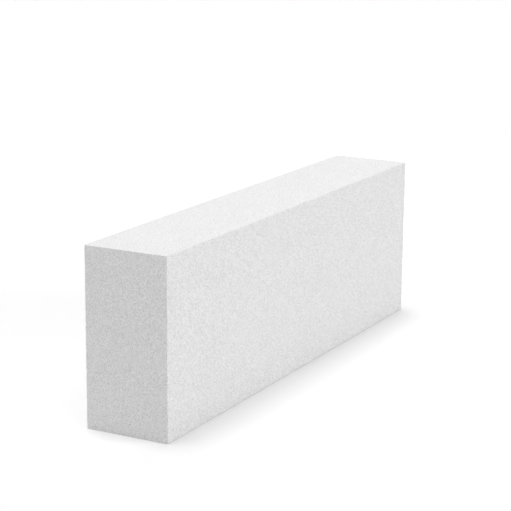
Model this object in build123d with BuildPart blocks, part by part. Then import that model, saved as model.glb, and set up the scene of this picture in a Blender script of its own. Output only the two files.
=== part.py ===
from build123d import *
import os

# A solid block of aerated concrete for a thin partition wall. It is cast and
# wire-cut as one piece, with no grooves, grips or cells, and stands here on the
# long narrow face that it is bedded on. Sizes are in millimetres, +Z is up.
#
# The origin is the middle of the face underneath: X runs along the wall,
# Y through it, and Z up the course.

length = 600.0
thickness = 100.0
height = 200.0

# The cutting wires leave sharp arrises, which crumble a little in handling.
arris_radius = 0.6


with BuildPart() as block:
    with BuildSketch(Plane.XY) as bed_face:
        Rectangle(length, thickness)
    extrude(amount=height)
    fillet(block.edges(), radius=arris_radius)

os.makedirs("parts", exist_ok=True)
block.part.label = "block"
export_step(block.part, "parts/block.step")
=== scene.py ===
import math

import bpy
import numpy as np
from mathutils import Euler, Matrix, Vector


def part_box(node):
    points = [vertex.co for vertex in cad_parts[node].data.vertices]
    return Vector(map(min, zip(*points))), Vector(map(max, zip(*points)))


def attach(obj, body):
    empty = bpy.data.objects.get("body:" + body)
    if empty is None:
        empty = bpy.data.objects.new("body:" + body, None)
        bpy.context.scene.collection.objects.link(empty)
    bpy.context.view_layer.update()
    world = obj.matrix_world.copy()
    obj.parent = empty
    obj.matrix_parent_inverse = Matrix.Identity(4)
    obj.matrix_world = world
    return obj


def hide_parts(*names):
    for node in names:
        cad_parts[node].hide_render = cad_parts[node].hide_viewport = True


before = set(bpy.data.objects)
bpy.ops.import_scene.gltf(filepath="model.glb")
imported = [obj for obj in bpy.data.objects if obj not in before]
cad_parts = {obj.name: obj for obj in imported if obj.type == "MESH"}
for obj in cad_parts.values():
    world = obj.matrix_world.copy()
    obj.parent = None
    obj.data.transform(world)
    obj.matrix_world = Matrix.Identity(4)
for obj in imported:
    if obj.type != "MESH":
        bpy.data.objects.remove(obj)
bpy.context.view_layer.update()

BLOCK_LOW, BLOCK_HIGH = (np.array(corner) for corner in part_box("block"))

bl_info = {
    "name": "Aerated concrete block",
    "version": (1, 0, 0),
    "blender": (4, 5, 0),
    "location": "3D View > Sidebar > Block",
    "description": "Casts a wire-cut block of aerated concrete and sets a pale studio round it",
    "category": "Add Mesh",
}

MM = 0.001

# The skin is laid out on lattice lines, which run over all six faces of the block.
# First come the strips that turn each half of an arris, then the lines on the flat
# beside it, measured from the end of its round.
ROUND_STEPS = 2
BORDER_LINES = np.array([0.8, 2.0]) * MM
# Lines on each side of the block before its coarse cells begin
EDGE_LINES = ROUND_STEPS + len(BORDER_LINES)
# Side of a coarse cell, and the fine steps along it where it meets the border
COARSE_CELL = 5.0 * MM
FINE_STEPS = 4
# Corners of a cell in the order round it, and the way from each to the next
CELL_CORNERS = np.array([(0, 0), (1, 0), (1, 1), (0, 1)])
CELL_WAYS = np.array([(1, 0), (0, 1), (-1, 0), (0, -1)])

# A face is named by the axis that it looks along and its side, 0 for the low one. Here is
# how each lies on the flat sheet that its map is drawn on: the matrix turns the face's own
# two directions into the sheet's, without turning the face over.
FACE_TURNS = {
    (0, 0): ((-1, 0), (0, 1)),
    (0, 1): ((1, 0), (0, 1)),
    (1, 0): ((0, 1), (1, 0)),
    (1, 1): ((0, 1), (-1, 0)),
    (2, 0): ((1, 0), (0, -1)),
    (2, 1): ((1, 0), (0, 1)),
}
LONG_FACES = ((1, 0), (1, 1), (2, 0), (2, 1))
END_FACES = ((0, 0), (0, 1))
SHEET_GAP = 5.0 * MM

# Each size of pore: the sides of its rim, and its rings as shares of the rim's radius
SMALL_PORE = (8, (1.0,))
MIDDLE_PORE = (8, (1.0, 0.6))
LARGE_PORE = (16, (1.0, 0.8, 0.45))
# Least and greatest of what chance gives a pore: its radius as a share of the usual, its
# width across and its depth as shares of its radius, and the unevenness of its rim
PORE_RADII = (0.7, 1.3)
PORE_WIDTHS = (0.78, 1.0)
PORE_DEPTHS = (0.45, 0.95)
PORE_RIMS = (0.93, 1.07)
# Share of a cell's side that its pore may use, and how far a rim may reach, in radii
PORE_ROOM = 0.96
RIM_REACH = 1.12

# Grains of the fields that the wear is made of: the wandering of the cutting wires, the
# rubbing, the chips, and how often chips come along an arris
WIRE_GRAIN = 70 * MM
RUBBING_GRAIN = 1.6 * MM
CHIP_GRAIN = 3.2 * MM
CROWD_GRAIN = 24 * MM
# Values of the chips' field where a chip starts and where it is deepest, and how much the
# crowding shifts that field
CHIP_LIMITS = (0.70, 0.95)
CROWDING = 0.35
# Reach of the wear at a corner, as a share of its reach beside an arris
CORNER_REACH = 1.6
# Height over which wear fades towards the arrises underneath, and the share that it loses
SHELTER = 12 * MM
SHELTERED = 0.75

# Bubbles of the concrete that the cutting wire opened: the spacing of each kind, its least
# and greatest radius as shares of that, how dark its painted shade is at its middle, and
# how deep
BUBBLES = {
    "coarse bubbles": (2.3 * MM, 0.12, 0.42, 0.10, 0.42 * MM),
    "fine bubbles": (1.05 * MM, 0.20, 0.55, 0.40, 0.20 * MM),
    "minute bubbles": (0.60 * MM, 0.30, 0.60, 0.60, 0.05 * MM),
}
DUST_GRAIN = 1.4 * MM
CLOUD_GRAIN = 45 * MM
NOISE_DETAIL = 2.0
NOISE_ROUGHNESS = 0.55
# Usual darkness of the body, as a share of the way from the body's colour to the pores'
BODY_SHADE = 0.10
# Gloss of the dry, open surface
SURFACE_ROUGHNESS = 0.92
SURFACE_SPECULAR = 0.2

# The camera, in metres and degrees. Its picture is square.
CAMERA_PLACE = (-1.69384, -0.90072, 0.59876)
CAMERA_HEADING = -61.718
CAMERA_DOWN = 13.694
CAMERA_ROLL = 0.48
SENSOR_WIDTH = 36.0
PICTURE_WIDTH = 511
FOCAL_PIXELS = 1673.73
SIGHT = 100.0

# Studio lights: the side that each shines from, where 0 is the front and 90 the right
# end, its height above the floor, how wide its glow is, all in degrees, and its strength
STUDIO_LIGHTS = {
    "front_low": (20, 10, 20, 0.328),
    "front_high": (0, 65, 30, 0.117),
    "right_low": (90, 20, 50, 0.243),
    "back_right": (135, 40, 50, 0.186),
    "back_high": (180, 80, 20, 0.293),
    "back_left": (225, 40, 50, 0.163),
    "left_high": (270, 65, 30, 0.108),
    "left_low": (315, 15, 40, 0.310),
    "overhead": (0, 90, 20, 0.131),
}


# Shape of the block


def lattice_lines(size, arris):
    """Gives the places of the lattice lines along one axis, the way to each, and the cells.

    A line on an arris, turned by the angle t from the flat, stands arris * tan(t) beyond
    the end of the flat, and lies arris * t along the surface. The others lie on the flat:
    first the border lines, then equal fine steps, some to each coarse cell.
    """
    turned = np.linspace(math.pi / 4, 0, ROUND_STEPS, endpoint=False)
    flat_end = size / 2 - arris
    border = flat_end - np.concatenate([[0.0], BORDER_LINES])
    cells = round(2 * border[-1] / COARSE_CELL)
    inner = np.linspace(-border[-1], border[-1], cells * FINE_STEPS + 1)[1:-1]
    places = np.concatenate([flat_end + arris * np.tan(turned), border])
    ways = np.concatenate([flat_end + arris * turned, border])
    lines = np.concatenate([-places, inner, places[::-1]])
    way = np.concatenate([-ways, inner, ways[::-1]])
    return lines, way - way[0], cells


def rounded(points, half, arris):
    """Carries points of a sharp box onto the box with round arrises, with the normals there.

    The nearest point of the box that is smaller by the arris radius is found first. The
    surface lies one radius from it, in the direction of the sharp box's point.
    """
    core = np.clip(points, arris - half, half - arris)
    normals = points - core
    normals /= np.linalg.norm(normals, axis=1)[:, None]
    return core + arris * normals, normals


def smooth_step(low, high, value):
    """Rises from 0 at low to 1 at high as 3t^2 - 2t^3."""
    t = np.clip((value - low) / (high - low), 0, 1)
    return t * t * (3 - 2 * t)


def value_noise(points, cell, draw):
    """Gives a smooth random field between 0 and 1.

    Random values stand on a cubic lattice of the given cell, with spare ones round the
    block. Between them the eight nearest are blended, with the weight 3t^2 - 2t^3 along
    each axis.
    """
    spare = 4
    counts = np.ceil((BLOCK_HIGH - BLOCK_LOW) / cell).astype(int) + spare
    table = draw.random(tuple(counts))
    place = (points - BLOCK_LOW + cell) / cell
    low = np.floor(place).astype(int)
    high_share = smooth_step(0, 1, place - low)
    total = np.zeros(len(points))
    for corner in np.ndindex(2, 2, 2):
        weight = np.prod(np.where(corner, high_share, 1 - high_share), axis=1)
        total += weight * table[tuple((low + corner).T)]
    return total


def own_axes(face):
    """Gives the two axes that a face's own directions run along."""
    return (face[0] + 1) % 3, (face[0] + 2) % 3


def turn_over(values, counts):
    """Reverses the order of the corners within each polygon."""
    ends = np.cumsum(counts)
    within = np.arange(len(values)) - np.repeat(ends - counts, counts)
    return values[np.repeat(ends, counts) - 1 - within]


def border_quads(steps):
    """Gives the fine quads in the strips along a face's sides, as pairs of line numbers."""
    u, v = np.indices(steps)
    beside_u = np.minimum(u, steps[0] - 1 - u) < EDGE_LINES
    beside_v = np.minimum(v, steps[1] - 1 - v) < EDGE_LINES
    near = beside_u | beside_v
    return np.stack([u[near], v[near]], axis=-1)[:, None] + CELL_CORNERS


def cell_polygons(cells, at):
    """Gives the polygons of coarse cells as pairs of line numbers, and the corners of each.

    A cell inside the face is one quad. A cell that meets the fine border also has the
    border's points on that side, and is a fan of triangles from a corner away from them.
    """
    corners = CELL_CORNERS * FINE_STEPS
    beside = (at == np.array(cells) - 1).astype(int) - (at == 0)
    pairs, counts = [], []
    for side in np.ndindex(3, 3):
        across, up = side[0] - 1, side[1] - 1
        mine = at[(beside == (across, up)).all(axis=1)]
        meets = (up == -1, across == 1, up == 1, across == -1)
        outline = [
            corners[k] + CELL_WAYS[k] * np.arange(FINE_STEPS if meets[k] else 1)[:, None]
            for k in range(4)
        ]
        shapes = np.concatenate(outline)[None]
        if any(meets):
            hub = next(k for k in range(4) if not meets[k] and not meets[k - 1])
            round_hub = np.concatenate(outline[hub:] + outline[:hub])
            before, after = round_hub[1:-1], round_hub[2:]
            shapes = np.stack([np.broadcast_to(round_hub[0], after.shape), before, after], axis=1)
        pairs.append((EDGE_LINES + mine[:, None, None] * FINE_STEPS + shapes).reshape(-1, 2))
        counts.append(np.full(len(mine) * len(shapes), shapes.shape[1]))
    return np.concatenate(pairs), np.concatenate(counts)


def pore_template(sides, rings):
    """Gives the polygons of one cell with a pore in it, as numbers of its own points.

    Points 0 to 3 are the cell's corners. Then come the rings, each a full turn that
    starts towards corner 0, and last the pore's lowest point. Four polygons join the cell's
    sides to the rim, quads go from ring to ring, and triangles close the bottom.
    """
    quarter = sides // 4
    corner = np.arange(4)[:, None]
    arc = (corner * quarter + np.arange(quarter, -1, -1)) % sides
    polygons = [np.hstack([corner, (corner + 1) % 4, 4 + arc])]
    here = np.arange(sides)
    after = (here + 1) % sides
    outer = 4
    for _ in rings[1:]:
        inner = outer + sides
        quads = [outer + here, outer + after, inner + after, inner + here]
        polygons.append(np.stack(quads, axis=-1))
        outer = inner
    lowest = np.full(sides, outer + sides)
    polygons.append(np.stack([outer + here, outer + after, lowest], axis=-1))
    counts = np.concatenate([np.full(len(p), p.shape[1]) for p in polygons])
    return np.concatenate([p.ravel() for p in polygons]), counts


def pore_points(centres, radius, sides, rings, draw):
    """Gives the points of cut bubbles as places on the face and depths under it.

    A pore is a bowl. At the share s of its radius from the middle, its depth is
    depth * sqrt(1 - s^2). Its rim is an ellipse with a slightly uneven edge, which starts
    towards the cell's first corner.
    """
    count = len(centres)
    angle = -0.75 * math.pi + 2 * math.pi * np.arange(sides) / sides
    slant = draw.uniform(0, math.pi, (count, 1))
    narrow = draw.uniform(*PORE_WIDTHS, (count, 1))
    uneven = draw.uniform(*PORE_RIMS, (count, sides))
    depth = radius * draw.uniform(*PORE_DEPTHS, count)
    along = np.cos(angle - slant) * uneven
    across = np.sin(angle - slant) * uneven * narrow
    rim = np.stack([
        along * np.cos(slant) - across * np.sin(slant),
        along * np.sin(slant) + across * np.cos(slant),
    ], axis=-1) * radius[:, None, None]
    shares = np.array(rings)
    places = centres[:, None, None] + rim[:, None] * shares[:, None, None]
    places = np.concatenate([places.reshape(count, -1, 2), centres[:, None]], axis=1)
    shares = np.append(np.repeat(shares, sides), 0.0)
    return places, depth[:, None] * np.sqrt(1 - shares**2)


class Surface:
    """Collects the points and polygons of the block's skin.

    A polygon's corners are keys. A key is the number of a lattice point, or beyond the
    lattice that of a pore's own point.
    """

    def __init__(self, size, arris):
        self.half = size / 2
        self.arris = arris
        self.lines, self.way, self.cells = zip(*(lattice_lines(s, arris) for s in size))
        self.shape = tuple(len(line) for line in self.lines)
        self.lattice = int(np.prod(self.shape))
        self.sheet_places, self.sheet_side = self.lay_out_sheet()
        self.keys, self.sheet, self.counts = [], [], []
        self.extra, self.extra_outward, self.extra_rims = [], [], []
        self.extras = 0

    def face_size(self, face):
        """Gives the size of a face laid flat, along its own two directions."""
        return np.array([self.way[axis][-1] for axis in own_axes(face)])

    def face_cells(self, face):
        """Gives the numbers of coarse cells along a face's own two directions."""
        return tuple(self.cells[axis] for axis in own_axes(face))

    def lay_out_sheet(self):
        """Gives the place of each face on the sheet, and the sheet's side.

        The long faces lie in a stack, and the ends beside it.
        """
        places = {}
        up = 0.0
        for face in LONG_FACES:
            places[face] = np.array([0.0, up])
            up += abs(np.array(FACE_TURNS[face]) @ self.face_size(face))[1] + SHEET_GAP
        right = self.way[0][-1] + SHEET_GAP
        up_end = 0.0
        for face in END_FACES:
            places[face] = np.array([right, up_end])
            up_end += self.face_size(face)[1] + SHEET_GAP
        return places, max(up - SHEET_GAP, right + self.face_size(END_FACES[0])[0])

    def on_sheet(self, face, ways):
        """Carries places on a face onto the sheet, as shares of the sheet's side."""
        turn = np.array(FACE_TURNS[face])
        flat = ways @ turn.T - np.minimum(turn @ self.face_size(face), 0)
        place = self.sheet_places[face] + flat + SHEET_GAP / 2
        return place / (self.sheet_side + SHEET_GAP)

    def add(self, face, keys, ways, counts):
        """Adds polygons that lie on one face, turned so that they look outwards."""
        sheet = self.on_sheet(face, ways)
        if face[1] == 0:
            keys, sheet = turn_over(keys, counts), turn_over(sheet, counts)
        self.keys.append(keys)
        self.sheet.append(sheet)
        self.counts.append(counts)

    def lattice_keys(self, face, pairs):
        """Numbers the lattice points of a face from pairs of line numbers."""
        axis, side = face
        first, second = own_axes(face)
        place = [None, None, None]
        place[axis] = np.full(len(pairs), side * (self.shape[axis] - 1))
        place[first] = pairs[:, 0]
        place[second] = pairs[:, 1]
        return np.ravel_multi_index(place, self.shape)

    def add_lattice(self, face, pairs, counts):
        """Adds polygons whose corners are all lattice points."""
        first, second = own_axes(face)
        ways = np.stack([self.way[first][pairs[:, 0]], self.way[second][pairs[:, 1]]], axis=-1)
        self.add(face, self.lattice_keys(face, pairs), ways, counts)

    def add_border(self, face):
        """Adds the fine quads in the strips along a face's sides."""
        quads = border_quads([self.shape[axis] - 1 for axis in own_axes(face)])
        self.add_lattice(face, quads.reshape(-1, 2), np.full(len(quads), 4))

    def add_pores(self, face, at, kind, radius, draw):
        """Adds the coarse cells at the given places of a face, each with a pore in it."""
        if len(at) == 0:
            return
        sides, rings = kind
        axes = own_axes(face)
        corners = EDGE_LINES + (at[:, None] + CELL_CORNERS) * FINE_STEPS
        spots = np.stack([self.lines[axes[k]][corners[..., k]] for k in (0, 1)], axis=-1)
        slack = (COARSE_CELL * PORE_ROOM / 2 - RIM_REACH * radius)[:, None]
        centres = spots.mean(axis=1) + draw.uniform(-1, 1, (len(at), 2)) * slack
        places, depth = pore_points(centres, radius, sides, rings, draw)
        count, points = depth.shape
        corner_keys = self.lattice_keys(face, corners.reshape(-1, 2)).reshape(count, 4)
        pore_keys = self.lattice + self.extras + np.arange(depth.size).reshape(count, points)
        keys = np.hstack([corner_keys, pore_keys])
        start = np.array([self.way[a][EDGE_LINES] - self.lines[a][EDGE_LINES] for a in axes])
        ways = np.concatenate([spots, places], axis=1) + start
        order, counts = pore_template(sides, rings)
        ways = ways[:, order].reshape(-1, 2)
        self.add(face, keys[:, order].ravel(), ways, np.tile(counts, count))
        self.add_pore_points(face, places, depth, sides)

    def add_pore_points(self, face, places, depth, sides):
        """Adds the pores' own points, from places on a face and depths under it."""
        axis, side = face
        first, second = own_axes(face)
        sign = 2 * side - 1
        solid = np.empty((*depth.shape, 3))
        solid[..., axis] = sign * (self.half[axis] - depth)
        solid[..., first] = places[..., 0]
        solid[..., second] = places[..., 1]
        outward = np.zeros(solid.shape)
        outward[..., axis] = sign
        rims = np.zeros(depth.shape, bool)
        rims[:, :sides] = True
        self.extra.append(solid.reshape(-1, 3))
        self.extra_outward.append(outward.reshape(-1, 3))
        self.extra_rims.append(rims.ravel())
        self.extras += depth.size

    def finished(self):
        """Welds all polygons into one skin.

        Gives its points, the directions outwards that wear acts against, which turn slowly
        over an arris and its borders, each point's distances from the three nearest sides
        in rising order, whether it lies on a pore's rim, and the polygons' corners, numbers
        of corners and places on the sheet.
        """
        used, corners = np.unique(np.concatenate(self.keys), return_inverse=True)
        own = used[used < self.lattice]
        place = np.unravel_index(own, self.shape)
        sharp = np.stack([self.lines[axis][place[axis]] for axis in range(3)], axis=-1)
        points, _ = rounded(sharp, self.half, self.arris)
        _, outward = rounded(sharp, self.half, self.arris + BORDER_LINES[-1])
        points = np.concatenate([points, *self.extra])
        outward = np.concatenate([outward, *self.extra_outward])
        gaps = np.sort(self.half - abs(np.concatenate([sharp, *self.extra])), axis=1)
        rims = np.concatenate([np.zeros(len(own), bool), *self.extra_rims])
        polygons = (corners, np.concatenate(self.counts), np.concatenate(self.sheet))
        return points, outward, gaps, rims, polygons


def weather(points, outward, gaps, settings, draw):
    """Moves the skin inwards where the block is wavy, or has crumbled along an arris.

    The depth is a slow field over the whole skin, plus, beside an arris, fine rubbing and
    a few chips. The chips are where a field of a few millimetres' grain rises past a
    limit, and a slower field decides where along an arris they come. Both fade out at the
    width of the arris's border. At a corner the rubbing is deeper. The arrises that the
    block stands on are spared most of this.
    """
    reach = settings.arris + BORDER_LINES[-1]
    beside = smooth_step(0, 1, 1 - gaps[:, 1] / reach)
    from_corner = np.hypot(gaps[:, 1], gaps[:, 2])
    corner = smooth_step(0, 1, 1 - from_corner / (CORNER_REACH * reach))
    waves = value_noise(points, WIRE_GRAIN, draw)
    rubbed = value_noise(points, RUBBING_GRAIN, draw)
    grain = value_noise(points, CHIP_GRAIN, draw)
    crowd = value_noise(points, CROWD_GRAIN, draw)
    chips = smooth_step(*CHIP_LIMITS, grain + CROWDING * (crowd - 0.5))
    wear = beside * (settings.rubbing * rubbed + settings.chip_depth * chips)
    wear = wear + corner * settings.corner_wear * (1 + grain) / 2
    spared = 1 - smooth_step(0, SHELTER, points[:, 2] - BLOCK_LOW[2])
    depth = settings.waviness * waves + wear * (1 - SHELTERED * spared)
    return points - outward * depth[:, None]


def scatter_pores(surface, faces, settings, draw):
    """Chooses the coarse cells with a pore: at most one in each, and none beside an arris.

    Gives for each size of pore its kind, its cells as rows of a face's number and two
    places, and its radii.
    """
    free = []
    for number, face in enumerate(faces):
        across, up = surface.face_cells(face)
        u, v = np.indices((across - 2, up - 2)) + 1
        free.append(np.stack([np.full(u.size, number), u.ravel(), v.ravel()], axis=-1))
    free = draw.permutation(np.concatenate(free))
    sizes = (
        (LARGE_PORE, settings.large_pores, settings.large_radius),
        (MIDDLE_PORE, settings.middle_pores, settings.middle_radius),
        (SMALL_PORE, settings.small_pores, settings.small_radius),
    )
    pores = []
    for kind, number, radius in sizes:
        cells, free = free[:number], free[number:]
        pores.append((kind, cells, radius * draw.uniform(*PORE_RADII, len(cells))))
    return pores


def make_mesh(name, points, rims, corners, counts, sheet):
    """Puts the skin into a mesh with smooth faces, sharp pore rims and its flat map."""
    mesh = bpy.data.meshes.new(name)
    mesh.vertices.add(len(points))
    mesh.loops.add(len(corners))
    mesh.polygons.add(len(counts))
    mesh.vertices.foreach_set("co", points.astype(np.float32).ravel())
    mesh.loops.foreach_set("vertex_index", corners.astype(np.int32))
    mesh.polygons.foreach_set("loop_start", (np.cumsum(counts) - counts).astype(np.int32))
    mesh.update(calc_edges=True)
    mesh.polygons.foreach_set("use_smooth", np.ones(len(counts), bool))
    edges = np.empty(2 * len(mesh.edges), np.int32)
    mesh.edges.foreach_get("vertices", edges)
    mesh.edges.foreach_set("use_edge_sharp", rims[edges.reshape(-1, 2)].all(axis=1))
    layer = mesh.uv_layers.new(name="OFBake")
    layer.uv.foreach_set("vector", sheet.astype(np.float32).ravel())
    if mesh.validate(verbose=True):
        raise RuntimeError("the block's skin has faulty faces")
    mesh.update()
    return mesh


def block_mesh(settings):
    """Makes the skin of the block: flat faces with open pores, and worn round arrises."""
    draw = np.random.default_rng(settings.seed)
    surface = Surface(BLOCK_HIGH - BLOCK_LOW, settings.arris)
    faces = LONG_FACES + END_FACES
    pores = scatter_pores(surface, faces, settings, draw)
    for number, face in enumerate(faces):
        surface.add_border(face)
        here = [cells[:, 0] == number for _, cells, _ in pores]
        plain = np.ones(surface.face_cells(face), bool)
        for (_, cells, _), mine in zip(pores, here):
            plain[cells[mine, 1], cells[mine, 2]] = False
        surface.add_lattice(face, *cell_polygons(plain.shape, np.argwhere(plain)))
        for (kind, cells, radius), mine in zip(pores, here):
            surface.add_pores(face, cells[mine, 1:], kind, radius[mine], draw)
    points, outward, gaps, rims, polygons = surface.finished()
    middle = (BLOCK_HIGH + BLOCK_LOW) / 2
    points = weather(points + middle, outward, gaps, settings, draw)
    return make_mesh("aerated_block", points, rims, *polygons)


# Finishes


def add_node(tree, kind, label, **choices):
    """Adds a labelled node and sets its choices."""
    node = tree.nodes.new(kind)
    node.label = label
    for name, value in choices.items():
        setattr(node, name, value)
    return node


def feed(tree, node, sockets):
    """Fills a node's sockets, by a link from another socket or by a plain value."""
    for key, value in sockets.items():
        if isinstance(value, bpy.types.NodeSocket):
            tree.links.new(value, node.inputs[key])
        else:
            node.inputs[key].default_value = value
    return node


def new_material(name):
    """Makes an empty node material, and gives it with its tree and output."""
    material = bpy.data.materials.new(name)
    material.use_nodes = True
    tree = material.node_tree
    tree.nodes.clear()
    return material, tree, add_node(tree, "ShaderNodeOutputMaterial", "finish")


def math_node(tree, label, operation, *values, clamp=False):
    """Adds a Math node on the given values and gives its result."""
    node = add_node(tree, "ShaderNodeMath", label, operation=operation, use_clamp=clamp)
    return feed(tree, node, dict(enumerate(values))).outputs[0]


def blend(tree, label, share, first, second):
    """Adds a blend of two colours, the first at share 0 and the second at 1.

    A Mix node has sockets for numbers and directions before those for colours: its two
    colours are inputs 6 and 7, and their blend is output 2.
    """
    node = add_node(tree, "ShaderNodeMix", label, data_type="RGBA", clamp_factor=True)
    feed(tree, node, {"Factor": share, 6: (*first, 1), 7: (*second, 1)})
    return node.outputs[2]


def cut_bubbles(tree, place, label, cell, least, most):
    """Adds a field of bubbles cut open by the surface, and gives how far inside one a point is.

    Each cell of a cellular texture holds a bubble of its own random radius. The result is
    1 at a bubble's middle and falls to 0 at its wall, as 1 - (distance / radius)^2.
    """
    cells = add_node(tree, "ShaderNodeTexVoronoi", label, voronoi_dimensions="3D", feature="F1")
    feed(tree, cells, {"Vector": place, "Scale": 1 / cell})
    chance = add_node(tree, "ShaderNodeSeparateColor", label + " chance")
    feed(tree, chance, {"Color": cells.outputs["Color"]})
    span = most - least
    radius = math_node(tree, label + " radius", "MULTIPLY_ADD", chance.outputs[0], span, least)
    share = math_node(tree, label + " share", "DIVIDE", cells.outputs["Distance"], radius)
    square = math_node(tree, label + " square", "MULTIPLY", share, share)
    return math_node(tree, label + " depth", "SUBTRACT", 1.0, square, clamp=True)


def cloudy_noise(tree, place, label, grain):
    """Adds a cloudy field of the given grain, between 0 and 1."""
    noise = add_node(tree, "ShaderNodeTexNoise", label, noise_dimensions="3D")
    feed(tree, noise, {
        "Vector": place,
        "Scale": 1 / grain,
        "Detail": NOISE_DETAIL,
        "Roughness": NOISE_ROUGHNESS,
    })
    return noise.outputs[0]


def concrete_finish(settings):
    """Makes the finish of aerated concrete: a matte white body, full of bubbles cut open.

    Each kind of bubble darkens the colour with painted shade and lowers the surface in
    proportion to how far inside it a point is. Dust varies the colour from grain to grain, and
    clouding slowly.
    """
    material, tree, output = new_material("aerated_concrete")
    place = add_node(tree, "ShaderNodeTexCoord", "place on the block").outputs["Object"]
    dust = cloudy_noise(tree, place, "dust", DUST_GRAIN)
    cloud = cloudy_noise(tree, place, "clouding", CLOUD_GRAIN)
    palest = BODY_SHADE - (settings.dust_shade + settings.cloud_shade) / 2
    dark = math_node(tree, "shade of dust", "MULTIPLY_ADD", dust, settings.dust_shade, palest)
    dark = math_node(tree, "shade of clouding", "MULTIPLY_ADD", cloud, settings.cloud_shade, dark)
    relief = 0.0
    for name, (cell, least, most, shade, depth) in BUBBLES.items():
        inside = cut_bubbles(tree, place, name, cell, least, most)
        shade *= settings.bubble_painted_shade
        depth *= settings.bubble_relief
        # Painted shade: each bubble darkens the colour towards its middle, where its hollow would
        # be in shade
        dark = math_node(tree, "shade of " + name, "MULTIPLY_ADD", inside, shade, dark)
        relief = math_node(tree, "depth of " + name, "MULTIPLY_ADD", inside, -depth, relief)
    # The dark end of the blend is painted shade in the bubbles, and the darker grains of dust and
    # clouding
    colour = blend(tree, "body colour, grain and painted pore shade", dark, settings.body_colour, settings.pore_shade_and_grain_colour)
    bump = add_node(tree, "ShaderNodeBump", "cut bubbles")
    feed(tree, bump, {"Strength": 1.0, "Distance": 1.0, "Height": relief})
    surface = add_node(tree, "ShaderNodeBsdfPrincipled", "aerated concrete")
    feed(tree, surface, {
        "Base Color": colour,
        "Roughness": SURFACE_ROUGHNESS,
        "Specular IOR Level": SURFACE_SPECULAR,
        "Normal": bump.outputs["Normal"],
    })
    feed(tree, output, {"Surface": surface.outputs["BSDF"]})
    return material


def seen_directly(tree):
    """Adds the test for rays that come straight from the camera or by a gloss or glass."""
    rays = add_node(tree, "ShaderNodeLightPath", "kind of ray").outputs
    near = math_node(tree, "seen or mirrored", "ADD", rays["Is Camera Ray"], rays["Is Glossy Ray"])
    return math_node(tree, "seen at all", "ADD", near, rays["Is Transmission Ray"], clamp=True)


def floor_finish(settings):
    """Makes the pale floor: near white where it is seen, greyer for the light it throws back."""
    material, tree, output = new_material("pale_floor")
    seen = seen_directly(tree)
    colour = blend(tree, "thrown back and seen", seen, settings.floor_bounce, settings.floor_colour)
    surface = add_node(tree, "ShaderNodeBsdfDiffuse", "pale floor")
    feed(tree, surface, {"Color": colour})
    feed(tree, output, {"Surface": surface.outputs[0]})
    return material


# Settings

LENGTH = {"subtype": "DISTANCE", "unit": "LENGTH", "precision": 5}
COLOUR = {"subtype": "COLOR", "size": 3, "min": 0, "max": 1}


class BlockSettings(bpy.types.PropertyGroup):
    """Sizes and colours of the block."""

    seed: bpy.props.IntProperty(
        name="Seed", description="Number that the chance pattern starts from", default=7,
    )
    arris: bpy.props.FloatProperty(
        name="Arris radius", description="Roundness of the block's edges",
        default=0.6 * MM, min=0.2 * MM, max=5 * MM, **LENGTH,
    )
    waviness: bpy.props.FloatProperty(
        name="Waviness", description="How far the cutting wires wander from a flat face",
        default=0.12 * MM, **LENGTH,
    )
    rubbing: bpy.props.FloatProperty(
        name="Rubbing", description="Fine crumbling along the edges",
        default=0.14 * MM, **LENGTH,
    )
    chip_depth: bpy.props.FloatProperty(
        name="Chip depth", description="Depth of the small chips out of the edges",
        default=0.5 * MM, **LENGTH,
    )
    corner_wear: bpy.props.FloatProperty(
        name="Corner wear", description="How far the corners are rubbed back",
        default=0.3 * MM, **LENGTH,
    )
    large_pores: bpy.props.IntProperty(
        name="Large pores", description="Number of large pores", default=80, min=0,
    )
    middle_pores: bpy.props.IntProperty(
        name="Middle pores", description="Number of middle pores", default=700, min=0,
    )
    small_pores: bpy.props.IntProperty(
        name="Small pores", description="Number of small pores", default=3200, min=0,
    )
    large_radius: bpy.props.FloatProperty(
        name="Large pore", description="Usual radius of a large pore",
        default=0.95 * MM, **LENGTH,
    )
    middle_radius: bpy.props.FloatProperty(
        name="Middle pore", description="Usual radius of a middle pore",
        default=0.58 * MM, **LENGTH,
    )
    small_radius: bpy.props.FloatProperty(
        name="Small pore", description="Usual radius of a small pore",
        default=0.42 * MM, **LENGTH,
    )
    body_colour: bpy.props.FloatVectorProperty(
        name="Body", description="Colour of the concrete between its bubbles",
        default=(0.95, 0.95, 0.95), **COLOUR,
    )
    # Dark end of the colour blend: painted shade deep in a cut bubble, and the darker grains of
    # dust and clouding
    pore_shade_and_grain_colour: bpy.props.FloatVectorProperty(
        name="Pore", description="Colour deep in a cut bubble",
        default=(0.45, 0.45, 0.45), **COLOUR,
    )
    # Strength of the painted shade in the cut bubbles
    bubble_painted_shade: bpy.props.FloatProperty(
        name="Bubble shade", description="How dark the bubbles are, as a share of the usual",
        default=1.0, min=0.0, max=2.0,
    )
    bubble_relief: bpy.props.FloatProperty(
        name="Bubble relief", description="How deep the fine bubbles are, as a share of the usual",
        default=1.0, min=0.0, max=2.0,
    )
    dust_shade: bpy.props.FloatProperty(
        name="Dust", description="How much the colour varies from grain to grain",
        default=1.15, min=0.0, max=2.0,
    )
    cloud_shade: bpy.props.FloatProperty(
        name="Clouding", description="How much the colour varies slowly over a face",
        default=0.05, min=0.0, max=1.0,
    )


class StageSettings(bpy.types.PropertyGroup):
    """Floor and light of the studio."""

    floor_side: bpy.props.FloatProperty(
        name="Floor", description="Side of the square floor",
        default=30.0, min=2.0, subtype="DISTANCE", unit="LENGTH",
    )
    floor_colour: bpy.props.FloatVectorProperty(
        name="Floor colour", description="Colour of the floor where it is seen",
        default=(0.975, 0.975, 0.975), **COLOUR,
    )
    floor_bounce: bpy.props.FloatVectorProperty(
        name="Floor bounce", description="Colour of the floor for the light that it throws back",
        default=(0.7, 0.7, 0.7), **COLOUR,
    )
    light_level: bpy.props.FloatProperty(
        name="Light level", description="Strength of all the studio lights together",
        default=1.0, min=0.0,
    )


# Steps


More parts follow.
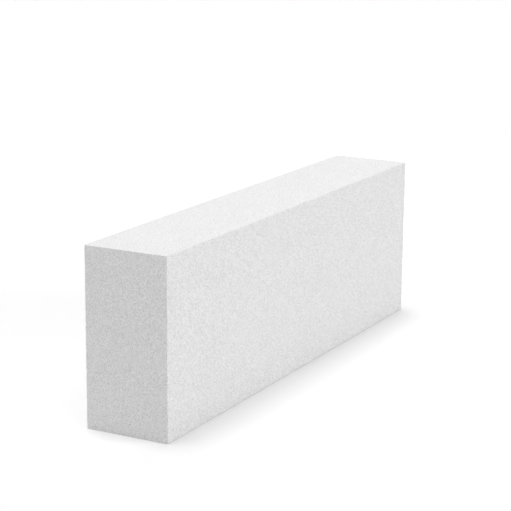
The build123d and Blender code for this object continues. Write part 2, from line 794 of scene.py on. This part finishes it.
class CastBlock(bpy.types.Operator):
    """Make the block in the place of its plain solid"""

    bl_idname = "block.cast"
    bl_label = "Cast the block"
    bl_options = {"REGISTER", "UNDO"}

    def execute(self, context):
        settings = context.scene.block_settings
        mesh = block_mesh(settings)
        mesh.materials.append(concrete_finish(settings))
        block = bpy.data.objects.new("aerated_block", mesh)
        context.scene.collection.objects.link(block)
        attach(block, "root")
        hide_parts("block")
        return {"FINISHED"}


class SetStage(bpy.types.Operator):
    """Lay the floor, hang the lights and place the camera"""

    bl_idname = "block.set_stage"
    bl_label = "Set the stage"
    bl_options = {"REGISTER", "UNDO"}

    def execute(self, context):
        scene = context.scene
        settings = scene.stage_settings
        self.lay_floor(scene, settings)
        self.light_backdrop(scene)
        for name, (side, height, glow, strength) in STUDIO_LIGHTS.items():
            self.hang_light(scene, name, side, height, glow, strength * settings.light_level)
        self.place_camera(scene)
        scene.view_settings.view_transform = "Standard"
        return {"FINISHED"}

    def lay_floor(self, scene, settings):
        """Lays a square floor under the block."""
        reach = settings.floor_side / 2
        corners = np.array([(-1, -1, 0), (1, -1, 0), (1, 1, 0), (-1, 1, 0)]) * reach
        mesh = bpy.data.meshes.new("floor")
        mesh.from_pydata(corners.tolist(), [], [(0, 1, 2, 3)])
        mesh.materials.append(floor_finish(settings))
        floor = bpy.data.objects.new("floor", mesh)
        scene.collection.objects.link(floor)

    def light_backdrop(self, scene):
        """Makes the air beyond the floor white to look at, and dark for the light it gives."""
        world = bpy.data.worlds.new("backdrop")
        world.use_nodes = True
        tree = world.node_tree
        backdrop = tree.nodes["Background"]
        backdrop.inputs["Color"].default_value = (1, 1, 1, 1)
        tree.links.new(seen_directly(tree), backdrop.inputs["Strength"])
        scene.world = world

    def hang_light(self, scene, name, side, height, glow, strength):
        """Hangs a wide, far light. At strength 1 it lights a white face turned to it to white."""
        lamp = bpy.data.lights.new(name, "SUN")
        lamp.energy = math.pi * strength
        lamp.angle = math.radians(glow)
        around, up = math.radians(side), math.radians(height)
        level = math.cos(up)
        towards = Vector((math.sin(around) * level, -math.cos(around) * level, math.sin(up)))
        light = bpy.data.objects.new(name, lamp)
        light.rotation_euler = towards.to_track_quat("Z", "Y").to_euler()
        scene.collection.objects.link(light)

    def place_camera(self, scene):
        """Places the camera where the photograph was taken from."""
        lens = bpy.data.cameras.new("camera")
        lens.sensor_width = SENSOR_WIDTH
        lens.lens = FOCAL_PIXELS * SENSOR_WIDTH / PICTURE_WIDTH
        lens.clip_end = SIGHT
        camera = bpy.data.objects.new("camera", lens)
        tilt = math.pi / 2 - math.radians(CAMERA_DOWN)
        looks = Euler((tilt, 0.0, math.radians(CAMERA_HEADING))).to_matrix().to_4x4()
        roll = Matrix.Rotation(math.radians(CAMERA_ROLL), 4, "Z")
        camera.matrix_world = Matrix.Translation(CAMERA_PLACE) @ looks @ roll
        scene.collection.objects.link(camera)
        bpy.context.scene.camera = camera


class BlockPanel(bpy.types.Panel):
    """Lists the steps and settings of the block in the sidebar"""

    bl_idname = "VIEW3D_PT_aerated_block"
    bl_label = "Aerated concrete block"
    bl_space_type = "VIEW_3D"
    bl_region_type = "UI"
    bl_category = "Block"

    def draw(self, context):
        scene = context.scene
        steps = ((CastBlock, scene.block_settings), (SetStage, scene.stage_settings))
        for operator, settings in steps:
            self.layout.operator(operator.bl_idname)
            column = self.layout.column(align=True)
            for name in settings.__annotations__:
                column.prop(settings, name)


CLASSES = (BlockSettings, StageSettings, CastBlock, SetStage, BlockPanel)


def register():
    """Registers the classes and gives the scene their settings."""
    for cls in CLASSES:
        bpy.utils.register_class(cls)
    bpy.types.Scene.block_settings = bpy.props.PointerProperty(type=BlockSettings)
    bpy.types.Scene.stage_settings = bpy.props.PointerProperty(type=StageSettings)


def unregister():
    """Takes the settings and the classes away again."""
    del bpy.types.Scene.stage_settings
    del bpy.types.Scene.block_settings
    for cls in reversed(CLASSES):
        bpy.utils.unregister_class(cls)


def main():
    """Runs the steps in order."""
    register()
    bpy.ops.block.cast()
    bpy.ops.block.set_stage()
    bpy.context.view_layer.update()


if __name__ == "__main__":
    main()
